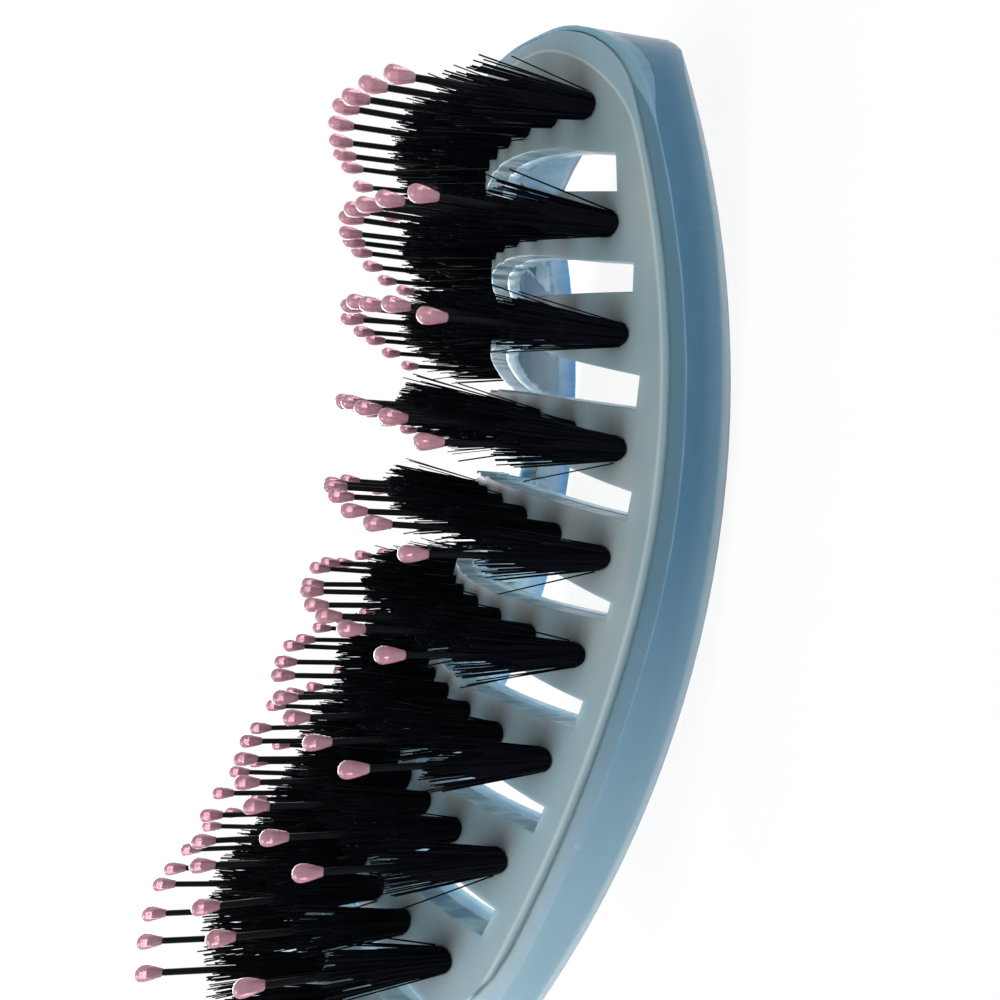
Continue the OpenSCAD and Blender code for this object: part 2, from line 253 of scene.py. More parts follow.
shellLook = {
    "body": "#386E8D",
    "low": "#93B2BF",  # painted light: paler toward the handle, and the handle itself
    "lip": "#466F82",
    "cornerHighlight": "#7CA0B0",  # painted highlight: the line between lip and side, where the rounded corner catches light
    "back": "#86A8B5",  # painted light: paler round the back edge, where the rounding catches light
    "inside": "#C8DEE7",  # painted light: the inner walls, pale as if lit through the wall, streaked with the next
    "insideDeep": "#96BFD3",
    "insideEdge": "#64A6CF",
    "lowRange": (78, 0),
    "lowWander": 12,
    "backFrom": 1.6,
    "backTurn": 1.6,
    "backShare": (0.3, 0.85),  # at the outline, and backTurn in from it
    "lipDepth": (0.5, 0.25),
    "lipLow": 0.95,  # how far the lip loses its own colour toward the handle
    "cornerReach": (0.45, 0.25),
    "cornerShare": 0.6,
    "insideFrom": (1.6, 2.6),
    "insideFacing": (-0.5, -0.2),
    "insideUpward": (-0.9, -0.6),
    "insideRim": 3.0,
    "streakSize": 5.0,
    "streakRange": (0.3, 0.7),
    "throughGlow": 0.17,
    "cloudSize": 22,
    "smearSize": 6.0,
    "smearDepth": 0.1,
    "smearStrength": 0.01,
    "smearRange": (0.2, 0.8),
    "roughness": (0.21, 0.29),
    "rounding": (0.35, 1.6),  # in front, and toward the back edge
    "roundingDepth": (1.0, 4.0),
    "glow": 2.4,
    "glowShare": 0.85,
    "glowReach": (0.7, 1.0, 1.2),
}


def tintedPolypropylene():
    # polypropylene tinted blue and moulded glossy: clearer than the plate, with painted light
    # that makes it pale where light comes through its wall, round the back edge and toward the
    # handle
    material, tree = newMaterial("tinted_polypropylene")
    s = shellLook
    place = addNode(tree, "ShaderNodeTexCoord").outputs["Object"]
    clouds = addNode(tree, "ShaderNodeTexNoise",
                     {"Scale": 1 / (s["cloudSize"] * mm), "Detail": 2.0}, {"Vector": place})
    parts = addNode(tree, "ShaderNodeSeparateXYZ", {}, {"Vector": place})
    # painted light: the frame pales toward the handle, as if more lit there
    wander = addNode(tree, "ShaderNodeMath",
                     {"operation": "MULTIPLY_ADD", 1: s["lowWander"] * mm},
                     {0: clouds.outputs["Fac"], 2: parts.outputs["Y"]})
    low = addNode(tree, "ShaderNodeMapRange",
                  {"interpolation_type": "SMOOTHSTEP", "From Min": s["lowRange"][0] * mm,
                   "From Max": s["lowRange"][1] * mm}, {"Value": wander.outputs[0]})
    body = addNode(tree, "ShaderNodeMix",
                   {"data_type": "RGBA", 6: colour(s["body"]), 7: colour(s["low"])},
                   {"Factor": low.outputs["Result"]})
    # painted light: paler round the back edge, where the rounding catches light and the thin
    # wall lets light through
    depth = addNode(tree, "ShaderNodeAttribute", {"attribute_name": "depth"})
    inset = addNode(tree, "ShaderNodeAttribute", {"attribute_name": "inset"})
    edge = addNode(tree, "ShaderNodeAttribute", {"attribute_name": "edge"})
    inside = addNode(tree, "ShaderNodeAttribute", {"attribute_name": "inside"})
    back = addNode(tree, "ShaderNodeMapRange",
                   {"interpolation_type": "SMOOTHSTEP", "From Min": s["backFrom"],
                    "From Max": 0.0}, {"Value": edge.outputs["Fac"]})
    turned = addNode(tree, "ShaderNodeMapRange",
                     {"From Max": s["backTurn"], "To Min": s["backShare"][0],
                      "To Max": s["backShare"][1]}, {"Value": inset.outputs["Fac"]})
    back = addNode(tree, "ShaderNodeMath", {"operation": "MULTIPLY"},
                   {0: back.outputs["Result"], 1: turned.outputs["Result"]})
    body = addNode(tree, "ShaderNodeMix", {"data_type": "RGBA", 7: colour(s["back"])},
                   {"Factor": back.outputs[0], 6: body.outputs[2]})
    # the lip beside the plate, and a painted highlight on the line where it turns into the side
    lip = addNode(tree, "ShaderNodeMapRange",
                  {"interpolation_type": "SMOOTHSTEP", "From Min": s["lipDepth"][0],
                   "From Max": s["lipDepth"][1]}, {"Value": depth.outputs["Fac"]})
    high = addNode(tree, "ShaderNodeMath",
                   {"operation": "MULTIPLY_ADD", 1: -s["lipLow"], 2: 1.0},
                   {0: low.outputs["Result"]})
    lip = addNode(tree, "ShaderNodeMath", {"operation": "MULTIPLY"},
                  {0: lip.outputs["Result"], 1: high.outputs[0]})
    body = addNode(tree, "ShaderNodeMix", {"data_type": "RGBA", 7: colour(s["lip"])},
                   {"Factor": lip.outputs[0], 6: body.outputs[2]})
    near = addNode(tree, "ShaderNodeMath", {"operation": "ADD"},
                   {0: inset.outputs["Fac"], 1: depth.outputs["Fac"]})
    cornerHighlight = addNode(tree, "ShaderNodeMapRange",
                     {"interpolation_type": "SMOOTHSTEP", "From Min": s["cornerReach"][0],
                      "From Max": s["cornerReach"][1], "To Max": s["cornerShare"]},
                     {"Value": near.outputs[0]})
    body = addNode(tree, "ShaderNodeMix", {"data_type": "RGBA", 7: colour(s["cornerHighlight"])},
                   {"Factor": cornerHighlight.outputs["Result"], 6: body.outputs[2]})
    # painted light: inner walls pale and streaky as if lit through the wall, bluer at the back
    # edge
    rimmed = addNode(tree, "ShaderNodeMapRange",
                     {"interpolation_type": "SMOOTHSTEP", "From Min": 0.0,
                      "From Max": s["insideRim"]}, {"Value": edge.outputs["Fac"]})
    streaks = addNode(tree, "ShaderNodeTexNoise",
                      {"Scale": 1 / (s["streakSize"] * mm), "Detail": 3.0}, {"Vector": place})
    streak = addNode(tree, "ShaderNodeMapRange",
                     {"From Min": s["streakRange"][0], "From Max": s["streakRange"][1]},
                     {"Value": streaks.outputs["Fac"]})
    within = addNode(tree, "ShaderNodeMix",
                     {"data_type": "RGBA", 6: colour(s["insideDeep"]), 7: colour(s["inside"])},
                     {"Factor": streak.outputs["Result"]})
    within = addNode(tree, "ShaderNodeMix", {"data_type": "RGBA", 6: colour(s["insideEdge"])},
                     {"Factor": rimmed.outputs["Result"], 7: within.outputs[2]})
    body = addNode(tree, "ShaderNodeMix", {"data_type": "RGBA"},
                   {"Factor": inside.outputs["Fac"], 6: body.outputs[2], 7: within.outputs[2]})
    # painted glow: the inner walls give off a little light of their own colour, standing in for
    # light through the wall
    through = addNode(tree, "ShaderNodeMath", {"operation": "MULTIPLY", 1: s["throughGlow"]},
                      {0: inside.outputs["Fac"]})
    # glossy skin, a little smeared by handling, with rounded edges
    smears = addNode(tree, "ShaderNodeTexNoise",
                     {"Scale": 1 / (s["smearSize"] * mm), "Detail": 1.0}, {"Vector": place})
    rough = addNode(tree, "ShaderNodeMapRange",
                    {"From Min": s["smearRange"][0], "From Max": s["smearRange"][1],
                     "To Min": s["roughness"][0], "To Max": s["roughness"][1]},
                    {"Value": smears.outputs["Fac"]})
    radius = addNode(tree, "ShaderNodeMapRange",
                     {"From Min": s["roundingDepth"][0], "From Max": s["roundingDepth"][1],
                      "To Min": s["rounding"][0] * mm, "To Max": s["rounding"][1] * mm},
                     {"Value": depth.outputs["Fac"]})
    soft = addNode(tree, "ShaderNodeBevel", {"samples": 8}, {"Radius": radius.outputs["Result"]})
    bump = addNode(tree, "ShaderNodeBump",
                   {"Strength": s["smearStrength"], "Distance": s["smearDepth"] * mm},
                   {"Height": smears.outputs["Fac"], "Normal": soft.outputs["Normal"]})
    skin = addNode(tree, "ShaderNodeBsdfPrincipled",
                   {"IOR": 1.49, "Subsurface Weight": s["glowShare"],
                    "Subsurface Radius": s["glowReach"], "Subsurface Scale": s["glow"] * mm},
                   {"Base Color": body.outputs[2], "Roughness": rough.outputs["Result"],
                    "Emission Color": within.outputs[2],
                    "Emission Strength": through.outputs[0],
                    "Normal": bump.outputs["Normal"]})
    addNode(tree, "ShaderNodeOutputMaterial", {}, {"Surface": skin.outputs["BSDF"]})
    return material


bristleLook = {
    "body": "#010205",
    "worn": "#060A12",
    "patchSize": 2.5,
    "roughness": (0.4, 0.7),
    "specular": 0.04,
}


def drawnNylon():
    # black nylon drawn to fine strands: dark, with a blue-black sheen that comes and goes
    material, tree = newMaterial("drawn_nylon")
    s = bristleLook
    place = addNode(tree, "ShaderNodeTexCoord").outputs["Object"]
    patches = addNode(tree, "ShaderNodeTexNoise",
                      {"Scale": 1 / (s["patchSize"] * mm), "Detail": 2.0}, {"Vector": place})
    body = addNode(tree, "ShaderNodeMix",
                   {"data_type": "RGBA", 6: colour(s["body"]), 7: colour(s["worn"])},
                   {"Factor": patches.outputs["Fac"]})
    rough = addNode(tree, "ShaderNodeMapRange",
                    {"To Min": s["roughness"][0], "To Max": s["roughness"][1]},
                    {"Value": patches.outputs["Fac"]})
    skin = addNode(tree, "ShaderNodeBsdfPrincipled",
                   {"Specular IOR Level": s["specular"], "IOR": 1.53},
                   {"Base Color": body.outputs[2], "Roughness": rough.outputs["Result"]})
    addNode(tree, "ShaderNodeOutputMaterial", {}, {"Surface": skin.outputs["BSDF"]})
    return material


pinLook = {
    "body": "#020308",
    "worn": "#070A10",
    "patchSize": 4,
    "roughness": (0.33, 0.57),
    "specular": 0.08,
    "grainSize": 0.15,
    "grainDepth": 0.02,
    "grainStrength": 0.15,
}


def mouldedNylon():
    # the pins: the same black, moulded smooth, with faint mould grain that breaks the shine
    material, tree = newMaterial("moulded_nylon")
    s = pinLook
    place = addNode(tree, "ShaderNodeTexCoord").outputs["Object"]
    patches = addNode(tree, "ShaderNodeTexNoise",
                      {"Scale": 1 / (s["patchSize"] * mm), "Detail": 2.0}, {"Vector": place})
    body = addNode(tree, "ShaderNodeMix",
                   {"data_type": "RGBA", 6: colour(s["body"]), 7: colour(s["worn"])},
                   {"Factor": patches.outputs["Fac"]})
    rough = addNode(tree, "ShaderNodeMapRange",
                    {"To Min": s["roughness"][0], "To Max": s["roughness"][1]},
                    {"Value": patches.outputs["Fac"]})
    grain = addNode(tree, "ShaderNodeTexNoise", {"Scale": 1 / (s["grainSize"] * mm)},
                    {"Vector": place})
    bump = addNode(tree, "ShaderNodeBump",
                   {"Strength": s["grainStrength"], "Distance": s["grainDepth"] * mm},
                   {"Height": grain.outputs["Fac"]})
    skin = addNode(tree, "ShaderNodeBsdfPrincipled",
                   {"Specular IOR Level": s["specular"], "IOR": 1.53},
                   {"Base Color": body.outputs[2], "Roughness": rough.outputs["Result"],
                    "Normal": bump.outputs["Normal"]})
    addNode(tree, "ShaderNodeOutputMaterial", {}, {"Surface": skin.outputs["BSDF"]})
    return material


tipLook = {
    "body": "#E3AAB8",
    "deep": "#C892A2",
    "cloudSize": 1.2,
    "roughness": (0.07, 0.22),
    "clear": 0.45,
    "glow": 0.4,
    "glowShare": 0.7,
    "glowReach": (1.0, 0.7, 0.7),
    "runSize": 0.9,
    "runDepth": 0.1,
    "runStrength": 0.2,
}


def dippedEpoxy():
    # ball tips of dipped epoxy: dusty pink and glossy, partly clear, cloudy in places and
    # a little uneven where each drop ran
    material, tree = newMaterial("dipped_epoxy")
    s = tipLook
    place = addNode(tree, "ShaderNodeTexCoord").outputs["Object"]
    clouds = addNode(tree, "ShaderNodeTexNoise",
                     {"Scale": 1 / (s["cloudSize"] * mm), "Detail": 2.0}, {"Vector": place})
    body = addNode(tree, "ShaderNodeMix",
                   {"data_type": "RGBA", 6: colour(s["body"]), 7: colour(s["deep"])},
                   {"Factor": clouds.outputs["Fac"]})
    rough = addNode(tree, "ShaderNodeMapRange",
                    {"To Min": s["roughness"][0], "To Max": s["roughness"][1]},
                    {"Value": clouds.outputs["Fac"]})
    runs = addNode(tree, "ShaderNodeTexNoise",
                   {"Scale": 1 / (s["runSize"] * mm), "Detail": 1.0}, {"Vector": place})
    bump = addNode(tree, "ShaderNodeBump",
                   {"Strength": s["runStrength"], "Distance": s["runDepth"] * mm},
                   {"Height": runs.outputs["Fac"]})
    skin = addNode(tree, "ShaderNodeBsdfPrincipled",
                   {"IOR": 1.55, "Transmission Weight": s["clear"],
                    "Subsurface Weight": s["glowShare"], "Subsurface Radius": s["glowReach"],
                    "Subsurface Scale": s["glow"] * mm},
                   {"Base Color": body.outputs[2], "Roughness": rough.outputs["Result"],
                    "Normal": bump.outputs["Normal"]})
    addNode(tree, "ShaderNodeOutputMaterial", {}, {"Surface": skin.outputs["BSDF"]})
    return material


wireLook = {
    "body": "#B9BBBD",
    "dull": "#8E9092",
    "lineSize": 0.08,
    "lineStretch": (1.0, 1.0, 0.05),
    "lineDepth": 0.01,
    "lineStrength": 0.2,
    "roughness": (0.2, 0.5),
}


def drawnSteel():
    # the staples' wire: bright drawn steel, with fine lines from the die and duller stretches
    material, tree = newMaterial("drawn_steel")
    s = wireLook
    place = addNode(tree, "ShaderNodeTexCoord").outputs["Object"]
    along = addNode(tree, "ShaderNodeMapping", {"Scale": s["lineStretch"]}, {"Vector": place})
    lines = addNode(tree, "ShaderNodeTexNoise",
                    {"Scale": 1 / (s["lineSize"] * mm), "Detail": 2.0},
                    {"Vector": along.outputs["Vector"]})
    body = addNode(tree, "ShaderNodeMix",
                   {"data_type": "RGBA", 6: colour(s["body"]), 7: colour(s["dull"])},
                   {"Factor": lines.outputs["Fac"]})
    rough = addNode(tree, "ShaderNodeMapRange",
                    {"To Min": s["roughness"][0], "To Max": s["roughness"][1]},
                    {"Value": lines.outputs["Fac"]})
    bump = addNode(tree, "ShaderNodeBump",
                   {"Strength": s["lineStrength"], "Distance": s["lineDepth"] * mm},
                   {"Height": lines.outputs["Fac"]})
    skin = addNode(tree, "ShaderNodeBsdfPrincipled", {"Metallic": 1.0},
                   {"Base Color": body.outputs[2], "Roughness": rough.outputs["Result"],
                    "Normal": bump.outputs["Normal"]})
    addNode(tree, "ShaderNodeOutputMaterial", {}, {"Surface": skin.outputs["BSDF"]})
    return material


plateMaterial = frostedStyrene()
shellMaterial = tintedPolypropylene()
bristleMaterial = drawnNylon()
pinMaterial = mouldedNylon()
tipMaterial = dippedEpoxy()
steelMaterial = drawnSteel()
for name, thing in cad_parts.items():
    if name.startswith("anchors"):
        dress(thing, steelMaterial)
print("steel on the anchors")

# Where the pins stand, which gives the places of the tufts and the tips

rowCount = 10
pinGap = 2  # wider than one pin's rings stand apart, narrower than the space between two pins


def pinAxes(row):
    # foot and top of each pin of a row, from the pins' own corners
    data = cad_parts["pins_row_%02d" % row].data
    points = sorted((v.co.copy() for v in data.vertices), key=lambda p: p.x)
    groups = [[points[0]]]
    for a, b in zip(points, points[1:]):
        if b.x - a.x > pinGap * mm:
            groups.append([])
        groups[-1].append(b)
    found = []
    for group in groups:
        middle = sum(p.z for p in group) / len(group)
        low = [p for p in group if p.z < middle]
        high = [p for p in group if p.z >= middle]
        found.append((sum(low, Vector()) / len(low), sum(high, Vector()) / len(high)))
    return found


pins = {row: pinAxes(row) for row in range(1, rowCount + 1)}

# Plate, frame and handle: copies of the model's solids, with smooth normals and with points
# close enough to carry the shading

mouldingSettings = {
    "front_plate": {"name": "plate_moulding", "slot": "plate", "longest": 1.5, "rounds": 5},
    "back_frame": {"name": "frame_moulding", "slot": "frame", "longest": 1.8, "rounds": 5},
    "handle": {"name": "handle_moulding", "slot": "frame", "longest": 6, "rounds": 3},
}
weldDistance = 0.002
sharpAngle = 32


def moulding(node, material):
    s = mouldingSettings[node]
    piece = addObject(s["name"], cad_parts[node].data.copy())
    pick([piece])
    bpy.ops.object.mode_set(mode="EDIT")
    bpy.ops.mesh.select_all(action="SELECT")
    bpy.ops.mesh.remove_doubles(threshold=weldDistance * mm)
    bpy.ops.mesh.customdata_custom_splitnormals_clear()
    for i in range(s["rounds"]):
        bpy.ops.mesh.select_all(action="DESELECT")
        bpy.ops.object.mode_set(mode="OBJECT")
        points = piece.data.vertices
        for edge in piece.data.edges:
            a, b = edge.vertices
            edge.select = (points[a].co - points[b].co).length > s["longest"] * mm
        bpy.ops.object.mode_set(mode="EDIT")
        bpy.ops.mesh.select_mode(type="EDGE")
        bpy.ops.mesh.subdivide(number_cuts=1)
        bpy.ops.mesh.select_all(action="SELECT")
        bpy.ops.mesh.quads_convert_to_tris(quad_method="SHORTEST_DIAGONAL", ngon_method="CLIP")
    bpy.ops.object.mode_set(mode="OBJECT")
    pick([piece])
    bpy.ops.object.shade_smooth_by_angle(angle=math.radians(sharpAngle))
    dress(piece, material)
    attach(piece, "root")
    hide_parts(node)
    print(s["name"], len(piece.data.polygons), "faces")
    return piece


def paint(piece, name, values):
    layer = piece.data.attributes.new(name, "FLOAT", "POINT")
    layer.data.foreach_set("value", values)


plate = moulding("front_plate", plateMaterial)
shell = moulding("back_frame", shellMaterial)
handle = moulding("handle", shellMaterial)

# The head's own curves, as in the model, tell how deep under the bristle side a point lies
# and how far in from the outline
headShape = {
    "place": (0, 79, 22),
    "across": 50.6,
    "along": 152.9,
    "width": 74.6,
    "sideRadius": 350,
    "sideBend": -30,
    "tipRadius": 160,
    "tipReach": 38.5,
    "cornerRadius": 12,
    "bevelPlace": (-17.2, 86.8),
    "bevelRadius": 71.5,
    "bevelTube": 50.91,
    "middle": (45, 105),  # the stretch of the long axis that the walls stand round
}
handleShade = {"depth": 1.0, "inset": 1.0, "inside": 0.0, "edge": 9.0}


def headPlace(point):
    # depth under the bristle side and distance in from the outline, both in mm
    h = headShape
    x, y, z = (point[i] / mm - h["place"][i] for i in range(3))
    fall = h["across"] - math.sqrt(max(h["across"] ** 2 - x * x, 0))
    depth = h["along"] - math.sqrt(max((h["along"] + fall) ** 2 - y * y, 0)) - z
    beside = h["sideRadius"] - math.hypot(abs(x) - h["width"] / 2 + h["sideRadius"],
                                          max(y - h["sideBend"], 0))
    ahead = h["tipRadius"] - math.hypot(x, y - h["tipReach"] + h["tipRadius"])
    c = h["cornerRadius"]
    if beside < c and ahead < c:
        return depth, c - math.hypot(c - beside, c - ahead)
    return depth, min(beside, ahead)


def bevelGap(point):
    # how far inside the bevel of the rim's back edge a point lies, in mm
    h = headShape
    x, y, z = (point[i] / mm - h["place"][i] for i in range(3))
    ring = math.hypot(y - h["bevelPlace"][0], z - h["bevelPlace"][1]) - h["bevelRadius"]
    return h["bevelTube"] - math.hypot(x, ring)


def inwardShare(v, inset):
    # 1 where a point of the frame looks inwards, which light through the wall brightens
    s = shellLook
    low, high = headShape["middle"]
    nearest = min(max(v.co.y, low * mm), high * mm)
    inward = Vector((-v.co.x, nearest - v.co.y, 0)).normalized()
    facing = (smoothStep(*s["insideFacing"], v.normal.dot(inward))
              * smoothStep(*s["insideUpward"], v.normal.z))
    return smoothStep(*s["insideFrom"], inset) * facing


def shadePlate():
    # painted shade: a dark smudge round each tuft's foot, partly the foot showing through the
    # milky plate, partly the tuft's shadow, mostly along the head
    feet = [foot for row in pins.values() for foot, top in row]
    tree = KDTree(len(feet))
    for i, foot in enumerate(feet):
        tree.insert((foot.x, foot.y, 0), i)
    tree.balance()
    s = plateLook
    footShades, insets = [], []
    for v in plate.data.vertices:
        place = tree.find((v.co.x, v.co.y, 0))[0]
        across = (v.co.x - place.x) / (s["footShadeAcross"] * mm)
        along = (v.co.y - place.y - s["footShadeAhead"] * mm) / (s["footShadeAlong"] * mm)
        footShades.append(s["footShadeShare"] * math.exp(-0.5 * (across * across + along * along)))
        insets.append(headPlace(v.co)[1])
    paint(plate, "foot_shade", footShades)
    paint(plate, "inset", insets)


def shadeShell():
    # where each point of the frame lies and which way it looks; the handle takes one value
    depths, insets, insides, edges = [], [], [], []
    for v in shell.data.vertices:
        depth, inset = headPlace(v.co)
        depths.append(depth)
        insets.append(inset)
        insides.append(inwardShare(v, inset))
        edges.append(bevelGap(v.co))
    paint(shell, "depth", depths)
    paint(shell, "inset", insets)
    paint(shell, "inside", insides)
    paint(shell, "edge", edges)
    for name, value in handleShade.items():
        paint(handle, name, [value] * len(handle.data.vertices))


shadePlate()
shadeShell()
print("plate and frame shaded")

# Tufts

tuftSettings = {
    "kinds": 6,
    "seed": 100,
    "strands": 62,
    "strandWidth": 0.23,
    "widthPlay": (0.9, 1.1),
    "endWidth": 0.8,  # of the width at the root
    "length": 14.6,
    "lengthPlay": (0.84, 1.0),
    "crown": 0.1,  # how much shorter the outermost are
    "spiralStep": 2.39996,  # the golden angle, which spreads the roots evenly
    "stepPlay": 0.3,
    "spinPlay": 2,
    "turnPlay": 6.28,
    "lean": 7.5,
    "leanPlay": 1.2,
    "strays": 3,
    "strayLean": 14,
    "strayLeanPlay": (0.75, 1.0),
    "strayLengthPlay": (0.6, 0.95),
    "rootHeight": 1.45,
    "rootRadius": 1.32,
    "rootDepth": 1.2,
    "coreRidges": 22,
    "coreGroove": 0.9,
    "coreRadii": (1.36, 1.9, 0.3),
    "coreHeights": (-1.2, 7.0, 11.5),
}


def joined(parts):
    pick(parts)
    bpy.ops.object.join()
    return bpy.context.object


def makeCore():
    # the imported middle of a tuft: ridged like the strands that it stands for
    s = tuftSettings
    parts = []
    for i in range(2):
        low, high = s["coreHeights"][i:i + 2]
        bpy.ops.mesh.primitive_cone_add(vertices=s["coreRidges"],
                                        radius1=s["coreRadii"][i] * mm,
                                        radius2=s["coreRadii"][i + 1] * mm,
                                        depth=(high - low) * mm, end_fill_type="TRIFAN")
        part = bpy.context.object
        for v in part.data.vertices:
            turn = round(math.atan2(v.co.y, v.co.x) / (2 * math.pi) * s["coreRidges"])
            if turn % 2:
                v.co.x *= s["coreGroove"]
                v.co.y *= s["coreGroove"]
        part.data.transform(Matrix.Translation((0, 0, (low + high) / 2 * mm)))
        parts.append(part)
    return parts


def makeTuft(number):
    # one tuft standing on the origin along Z: a bundle that fans out, with a few strays
    s = tuftSettings
    draw = random.Random(s["seed"] + number)
    parts = makeCore()
    for i in range(s["strands"]):
        share = math.sqrt((i + 0.5) / s["strands"])
        around = i * s["spiralStep"] + draw.uniform(-s["stepPlay"], s["stepPlay"])
        lean = s["lean"] * share + draw.uniform(-s["leanPlay"], s["leanPlay"])
        length = s["length"] * draw.uniform(*s["lengthPlay"]) * (1 - s["crown"] * share * share)
        if i >= s["strands"] - s["strays"]:
            lean = s["strayLean"] * draw.uniform(*s["strayLeanPlay"])
            length = s["length"] * draw.uniform(*s["strayLengthPlay"])
        width = s["strandWidth"] * draw.uniform(*s["widthPlay"])
        whole = (length + s["rootDepth"]) * mm
        bpy.ops.mesh.primitive_cone_add(vertices=3, radius1=width / 2 * mm,
                                        radius2=width / 2 * s["endWidth"] * mm,
                                        depth=whole, end_fill_type="TRIFAN")
        strand = bpy.context.object
        foot = Vector((math.cos(around), math.sin(around), 0)) * share * s["rootRadius"] * mm
        foot.z = -s["rootDepth"] * mm
        tiltAxis = Vector((-math.sin(around), math.cos(around), 0))
        tilt = Matrix.Rotation(math.radians(lean), 4, tiltAxis)
        spin = Matrix.Rotation(draw.uniform(0, s["spinPlay"]), 4, "Z")
        raised = Matrix.Translation((0, 0, whole / 2))
        strand.data.transform(Matrix.Translation(foot) @ tilt @ raised @ spin)
        parts.append(strand)
    tuft = joined(parts)
    tuft.name = "tuft_kind_%d" % number
    return tuft


def standing(axis):
    return Vector((0, 0, 1)).rotation_difference(axis).to_matrix().to_4x4()


def plant(kinds, places, name, material, node):
    # one copy of a kind at each place, joined into the row's piece
    copies = []
    for kind, place in zip(kinds, places):
        copy = addObject(name, kind.data.copy())
        copy.data.transform(place)
        copies.append(copy)
    piece = joined(copies)
    piece.name = name
    dress(piece, material)
    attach(piece, "root")
    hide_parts(node)


tuftKinds = [makeTuft(n) for n in range(tuftSettings["kinds"])]
for row in pins:
    draw = random.Random(row)
    kinds, places = [], []
    for foot, top in pins[row]:
        axis = (top - foot).normalized()
        kinds.append(draw.choice(tuftKinds))
        turn = Matrix.Rotation(draw.uniform(0, tuftSettings["turnPlay"]), 4, "Z")
        root = foot + axis * tuftSettings["rootHeight"] * mm
        places.append(Matrix.Translation(root) @ standing(axis) @ turn)
    plant(kinds, places, "tufts_row_%02d" % row, bristleMaterial,
          "bristles_row_%02d" % row)
for kind in tuftKinds:
    bpy.data.objects.remove(kind)
print("tufts planted")

# Pins, each leaning a little its own way as in the photograph

pinSettings = {
    "seed": 50,
    "radius": 0.4,
    "sides": 12,
    "draft": 0.94,
    "across": 2.6,  # the most that one leans, in degrees
    "along": 1.5,
}
leaning = {}
for row in pins:
    draw = random.Random(pinSettings["seed"] + row)
    leaning[row] = []
    for foot, top in pins[row]:
        across = math.radians(draw.uniform(-1, 1) * pinSettings["across"])
        along = math.radians(draw.uniform(-1, 1) * pinSettings["along"])
        lean = Matrix.Rotation(across, 3, "Y") @ Matrix.Rotation(along, 3, "X")
        leaning[row].append((foot, foot + lean @ (top - foot)))


def makePin(length):
    # a moulded pin, a little thinner at its top so that it leaves the mould
    s = pinSettings
    deselect()
    bpy.ops.mesh.primitive_cylinder_add(vertices=s["sides"], radius=s["radius"] * mm,
                                        depth=length)
    pin = bpy.context.object
    pin.name = "pin_kind"
    bpy.ops.object.mode_set(mode="EDIT")
    bpy.ops.mesh.select_mode(type="VERT")
    bpy.ops.mesh.select_all(action="DESELECT")
    bpy.ops.object.mode_set(mode="OBJECT")
    for v in pin.data.vertices:
        v.select = v.co.z > 0
    bpy.ops.object.mode_set(mode="EDIT")
    bpy.ops.transform.resize(value=(s["draft"], s["draft"], 1))
    bpy.ops.object.mode_set(mode="OBJECT")
    bpy.ops.object.shade_smooth_by_angle(angle=math.radians(sharpAngle))
    return pin


foot, top = pins[1][0]
pinKind = makePin((top - foot).length)
for row in leaning:
    places = []
    for foot, top in leaning[row]:
        axis = (top - foot).normalized()
        places.append(Matrix.Translation((foot + top) / 2) @ standing(axis))
    plant([pinKind] * len(places), places, "leaning_pins_row_%02d" % row, pinMaterial,
          "pins_row_%02d" % row)
bpy.data.objects.remove(pinKind)
print("pins stood")

# Tips

tipSettings = {
    "radius": 0.98,
    "neck": 0.46,
    "length": 2.75,
    "waist": 0.85,  # how soon the drop draws in behind
    "poleWidth": 0.0001,
    "overPin": 0.525,
    "segments": 16,
    "rings": 12,
}


def makeTip():
    # a drop of epoxy round the pin's end: round in front, drawn out to the pin behind
    s = tipSettings
    bpy.ops.mesh.primitive_uv_sphere_add(segments=s["segments"], ring_count=s["rings"],
                                         radius=s["radius"] * mm)
    tip = bpy.context.object
    tip.name = "tip_kind"
    for v in tip.data.vertices:
        z = v.co.z / (s["radius"] * mm)
        if z < 0:
            t = 1 - math.acos(min(-z, 1)) / (math.pi / 2)
            drawnIn = (0.5 + 0.5 * math.cos(math.pi * t)) ** s["waist"]
            wide = s["neck"] + (s["radius"] - s["neck"]) * drawnIn
            around = math.hypot(v.co.x, v.co.y)
            if around > s["poleWidth"] * mm:  # the pole stays on the axis
                v.co.x *= wide * mm / around
                v.co.y *= wide * mm / around
            v.co.z = -t * s["length"] * mm
    bpy.ops.object.shade_smooth()
    return tip


tipKind = makeTip()
for row in leaning:
    places = []
    for foot, top in leaning[row]:
        axis = (top - foot).normalized()
        places.append(Matrix.Translation(top + axis * tipSettings["overPin"] * mm)
                      @ standing(axis))
    plant([tipKind] * len(places), places, "tips_row_%02d" % row, tipMaterial,
          "ball_tips_row_%02d" % row)
bpy.data.objects.remove(tipKind)
print("tips set")

# Stage

stageSettings = {
    "floorSize": 6.0,
    "floorDrop": 0.0002,
    "floor": "#F7F6F4",
    "white": "#FFFFFF",
    "sky": "#F7F9FC",
    "skyLight": 0.6,
    "keep": 0.91,  # how white the camera sees the floor near the object: the rest is shadow
    "shadowReach": (0.13, 0.3),
    "aim": (0, 0.04, 0.03),
}


def seenDirectly(tree):
    # 1 for what the camera sees itself, in a reflection or through clear plastic
    path = addNode(tree, "ShaderNodeLightPath")
    seen = addNode(tree, "ShaderNodeMath", {"operation": "MAXIMUM"},
                   {0: path.outputs["Is Camera Ray"], 1: path.outputs["Is Glossy Ray"]})
    return addNode(tree, "ShaderNodeMath", {"operation": "MAXIMUM"},
                   {0: seen.outputs[0], 1: path.outputs["Is Transmission Ray"]})


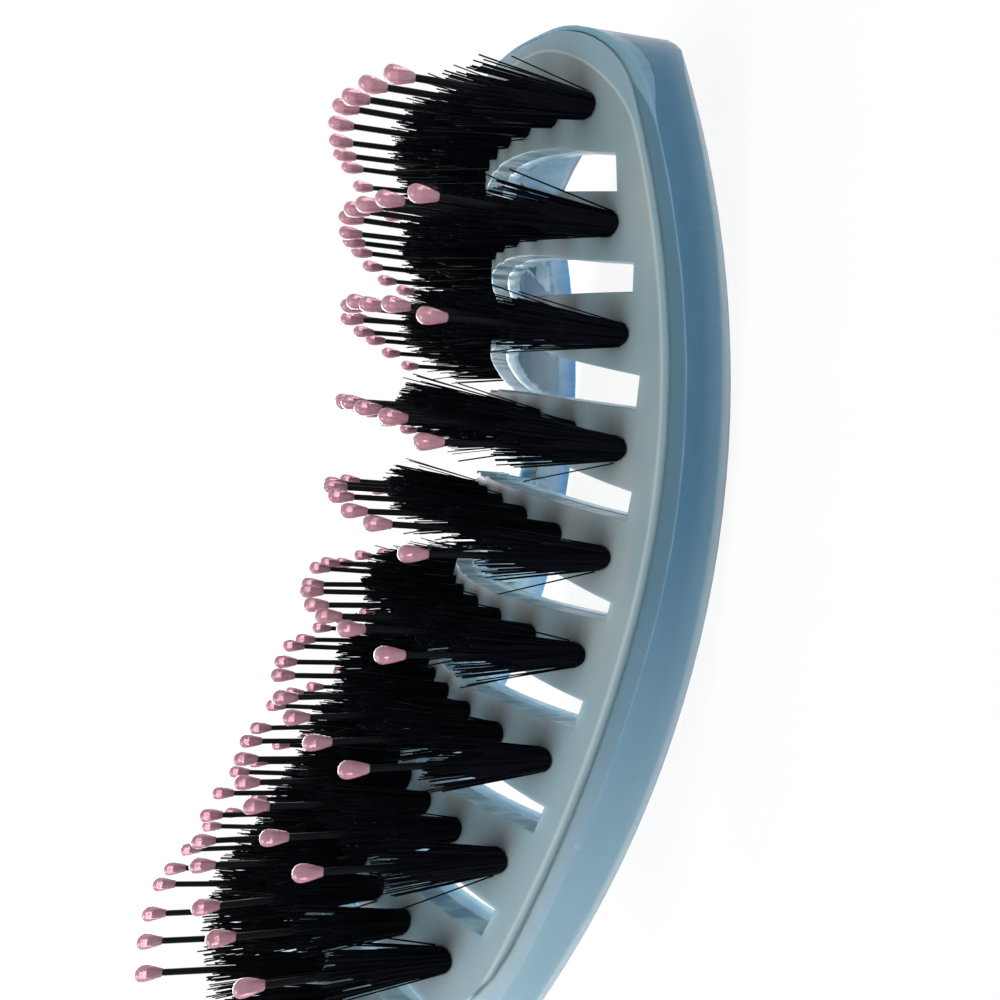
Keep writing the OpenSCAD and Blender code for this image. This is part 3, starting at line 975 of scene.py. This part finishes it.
def paleFloor():
    # a pale painted floor: it shows as white and keeps a faint shadow
    material, tree = newMaterial("pale_floor")
    s = stageSettings
    place = addNode(tree, "ShaderNodeTexCoord").outputs["Object"]
    distance = addNode(tree, "ShaderNodeVectorMath", {"operation": "LENGTH"}, {0: place})
    keep = addNode(tree, "ShaderNodeMapRange",
                   {"interpolation_type": "SMOOTHSTEP", "From Min": s["shadowReach"][0],
                    "From Max": s["shadowReach"][1], "To Min": s["keep"], "To Max": 1.0},
                   {"Value": distance.outputs["Value"]})
    share = addNode(tree, "ShaderNodeMath", {"operation": "MULTIPLY"},
                    {0: seenDirectly(tree).outputs[0], 1: keep.outputs["Result"]})
    plain = addNode(tree, "ShaderNodeBsdfDiffuse", {"Color": colour(s["floor"])})
    glow = addNode(tree, "ShaderNodeEmission", {"Color": colour(s["white"]), "Strength": 1.0})
    mix = addNode(tree, "ShaderNodeMixShader", {},
                  {0: share.outputs[0], 1: plain.outputs[0], 2: glow.outputs[0]})
    addNode(tree, "ShaderNodeOutputMaterial", {}, {"Surface": mix.outputs[0]})
    return material


deselect()
bpy.ops.mesh.primitive_plane_add(size=stageSettings["floorSize"],
                                 location=(0, 0, -stageSettings["floorDrop"]))
floor = bpy.context.object
floor.name = "floor"
dress(floor, paleFloor())

world = bpy.data.worlds.new("studio")
bpy.context.scene.world = world
world.use_nodes = True
world.node_tree.nodes.clear()
worldTree = world.node_tree
sky = addNode(worldTree, "ShaderNodeBackground",
              {"Color": colour(stageSettings["sky"]), "Strength": stageSettings["skyLight"]})
white = addNode(worldTree, "ShaderNodeBackground",
                {"Color": colour(stageSettings["white"]), "Strength": 1.0})
both = addNode(worldTree, "ShaderNodeMixShader", {},
               {0: seenDirectly(worldTree).outputs[0], 1: sky.outputs[0], 2: white.outputs[0]})
addNode(worldTree, "ShaderNodeOutputWorld", {}, {"Surface": both.outputs[0]})

lampSettings = [
    {"name": "key", "place": (0.35, -0.35, 0.75), "size": 0.5, "power": 4.6, "hue": "#FFFFFF"},
    {"name": "fill", "place": (-0.6, -0.2, 0.6), "size": 0.8, "power": 4.0, "hue": "#F4F8FF"},
    {"name": "back", "place": (-0.55, -0.2, 0.25), "size": 0.6, "power": 6.0, "hue": "#FFFFFF"},
]
for lamp in lampSettings:
    data = bpy.data.lights.new(lamp["name"], "AREA")
    data.size = lamp["size"]
    data.energy = lamp["power"]
    data.color = colour(lamp["hue"])[:3]
    holder = addObject(lamp["name"], data)
    holder.location = lamp["place"]
    aim = Vector(stageSettings["aim"]) - Vector(lamp["place"])
    holder.rotation_euler = aim.to_track_quat("-Z", "Y").to_euler()

bpy.context.scene.view_settings.view_transform = "Standard"
print("stage lit")
